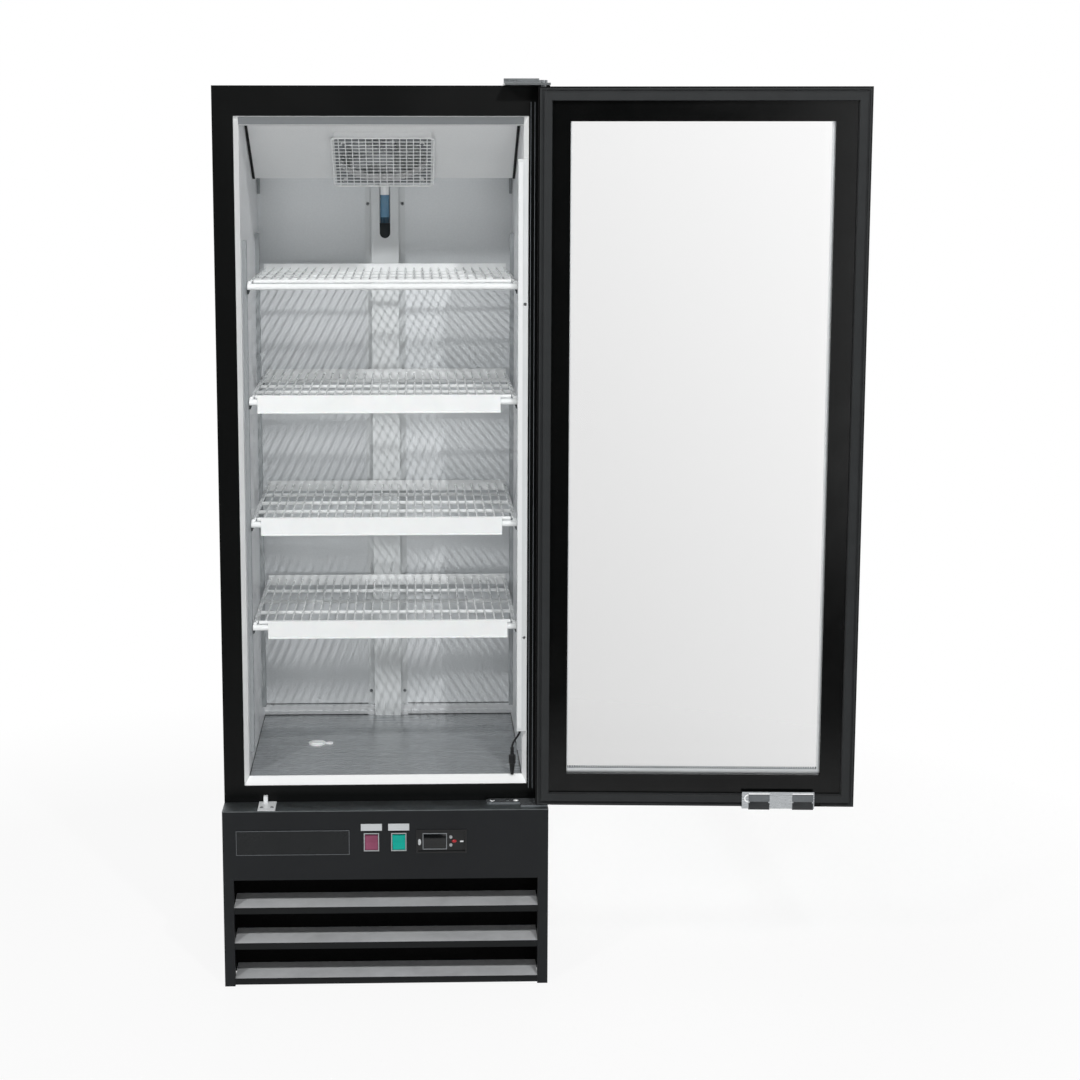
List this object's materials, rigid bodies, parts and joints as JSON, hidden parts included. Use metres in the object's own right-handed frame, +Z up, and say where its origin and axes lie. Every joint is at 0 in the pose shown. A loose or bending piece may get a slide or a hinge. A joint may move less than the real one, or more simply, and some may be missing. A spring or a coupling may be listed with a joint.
{
  "type": "glass door commercial refrigerator",
  "caption": "Upright display refrigerator with a hinged glass door, coated wire shelves, a ceiling cooling unit and a louvered base that holds the compressor.",
  "frame": {"origin": "on the ground under the middle of the cabinet", "axes": "+Z up, -Y out of the cabinet's front, +X to the cabinet's right as a person in front of it sees it"},
  "size_m": [1.2206, 0.6392, 1.745],
  "materials": {
    "black_steel": "satin black powder coat",
    "grey_steel": "plain galvanized sheet",
    "foam": "rigid foam",
    "breaker_plastic": "light grey smooth plastic",
    "liner_aluminium": "stippled satin sheet",
    "stainless": "brushed along the width",
    "duct_paint": "smooth light grey paint",
    "standard_steel": "zinc plated, satin",
    "clip_steel": "zinc plated, dull",
    "white_wire": "white plastic coating, glossy",
    "white_plastic": "smooth white",
    "light_trim": "satin anodized",
    "lens_plastic": "clear white diffuser",
    "black_rubber": "smooth cable jacket",
    "cover_paint": "smooth light grey paint",
    "screw_steel": "bright zinc",
    "motor_paint": "black paint",
    "coil_fins": "bright thin fins",
    "blue_tube": "translucent blue",
    "hinge_steel": "bright zinc plate",
    "hinge_dark": "zinc plate, dull",
    "strike_white": "white paint",
    "galvanized": "galvanized sheet",
    "base_paint": "satin black powder coat",
    "label_plastic": "bare grey plate",
    "housing_plastic": "fine grained black",
    "compressor_paint": "semi-gloss black paint",
    "condenser_paint": "black paint over fins",
    "copper": "plain copper tube",
    "tray_plastic": "moulded black",
    "fan_plastic": "moulded black",
    "switch_red": "translucent dark red",
    "switch_green": "translucent green",
    "button_plastic": "grey soft-touch",
    "door_black": "satin black powder coat",
    "bezel_black": "smooth black",
    "door_glass": "clear double pane",
    "spacer_aluminium": "mill finish",
    "gasket_rubber": "soft dark grey",
    "handle_plastic": "satin black",
    "bush_plastic": "natural white",
    "lock_steel": "bright zinc plate",
    "bolt_chrome": "plated",
    "cylinder_chrome": "plated"
  },
  "bodies": {
    "cabinet": {"outer_sides": "black_steel", "outer_top": "black_steel", "outer_back": "grey_steel", "insulation": "foam", "face_frame": "black_steel", "breaker_strips": "breaker_plastic", "liner_sides": "liner_aluminium", "liner_back": "liner_aluminium", "liner_top": "liner_aluminium", "floor_pan": "stainless", "back_duct": "duct_paint", "shelf_standards": "standard_steel", "shelf_clips": "clip_steel", "shelf_1": "white_wire", "shelf_2": "white_wire", "shelf_3": "white_wire", "shelf_4": "white_wire", "price_strips": "white_plastic", "light_bar": "light_trim", "light_lens": "lens_plastic", "light_lead": "black_rubber", "evaporator_cover": "cover_paint", "fan_guard": "white_wire", "cabinet_screws": "screw_steel", "fan_motors": "motor_paint", "evaporator_coil": "coil_fins", "drain_tube": "blue_tube", "drain_plug": "white_plastic", "baseboards": "stainless", "top_hinge": "hinge_steel", "bottom_hinge": "hinge_dark", "lock_strike": "strike_white", "base_deck": "galvanized", "base_pan": "galvanized", "base_sides": "base_paint", "base_panel": "base_paint", "louver_blades": "base_paint", "label_plates": "label_plastic", "control_housings": "housing_plastic", "compressor": "compressor_paint", "condenser_coil": "condenser_paint", "refrigerant_lines": "copper", "drip_tray": "tray_plastic", "rear_grille": "base_paint"},
    "door": {"door_frame": "door_black", "door_bezel": "bezel_black", "door_glass": "door_glass", "glass_spacer": "spacer_aluminium", "door_gasket": "gasket_rubber", "door_handle": "handle_plastic", "hinge_bushes": "bush_plastic", "lock_plate": "lock_steel"},
    "lock_bolt": {"lock_bolt": "bolt_chrome"},
    "lock_cylinder": {"lock_cylinder": "cylinder_chrome"},
    "evaporator_fan": {"evaporator_fan": "fan_plastic"},
    "condenser_fan": {"condenser_fan": "fan_plastic"},
    "power_switch": {"power_switch": "switch_red"},
    "light_switch": {"light_switch": "switch_green"},
    "up_button": {"up_button": "button_plastic"},
    "down_button": {"down_button": "button_plastic"}
  },
  "joints": [
    {"name": "door_hinge", "type": "hinge", "parent": "cabinet", "child": "door", "pos_m": [0.3, -0.272, 0.36], "axis": [0, 0, 1], "range_deg": [-177, 0]},
    {"name": "evaporator_fan_spin", "type": "hinge", "parent": "cabinet", "child": "evaporator_fan", "pos_m": [0, 0.02762, 1.60324], "axis": [0, 0.4756, 0.8796], "continuous": true},
    {"name": "condenser_fan_spin", "type": "hinge", "parent": "cabinet", "child": "condenser_fan", "pos_m": [-0.115, -0.123, 0.165], "axis": [0, 1, 0], "continuous": true},
    {"name": "power_switch_rock", "type": "hinge", "parent": "cabinet", "child": "power_switch", "pos_m": [-0.0275, -0.292, 0.291], "axis": [1, 0, 0], "range_deg": [-14, 0]},
    {"name": "light_switch_rock", "type": "hinge", "parent": "cabinet", "child": "light_switch", "pos_m": [0.0253, -0.292, 0.291], "axis": [1, 0, 0], "range_deg": [-14, 0]},
    {"name": "up_button_press", "type": "slide", "parent": "cabinet", "child": "up_button", "axis": [0, 1, 0], "range_m": [0, 0.0012], "stiffness_N_per_m": 400, "springref_m": -0.001},
    {"name": "down_button_press", "type": "slide", "parent": "cabinet", "child": "down_button", "axis": [0, 1, 0], "range_m": [0, 0.0012], "stiffness_N_per_m": 400, "springref_m": -0.001},
    {"name": "lock_cylinder_turn", "type": "hinge", "parent": "door", "child": "lock_cylinder", "pos_m": [0.75934, -0.26803, 0.382], "axis": [-0.0523, -0.9986, 0], "range_deg": [0, 90]},
    {"name": "lock_bolt_slide", "type": "slide", "parent": "door", "child": "lock_bolt", "axis": [0.9986, -0.0523, 0], "range_m": [0, 0.012]}
  ],
  "couplings": [
    {"joint": "lock_bolt_slide", "follows": "lock_cylinder_turn", "m_per_rad": 0.0076394}
  ]
}
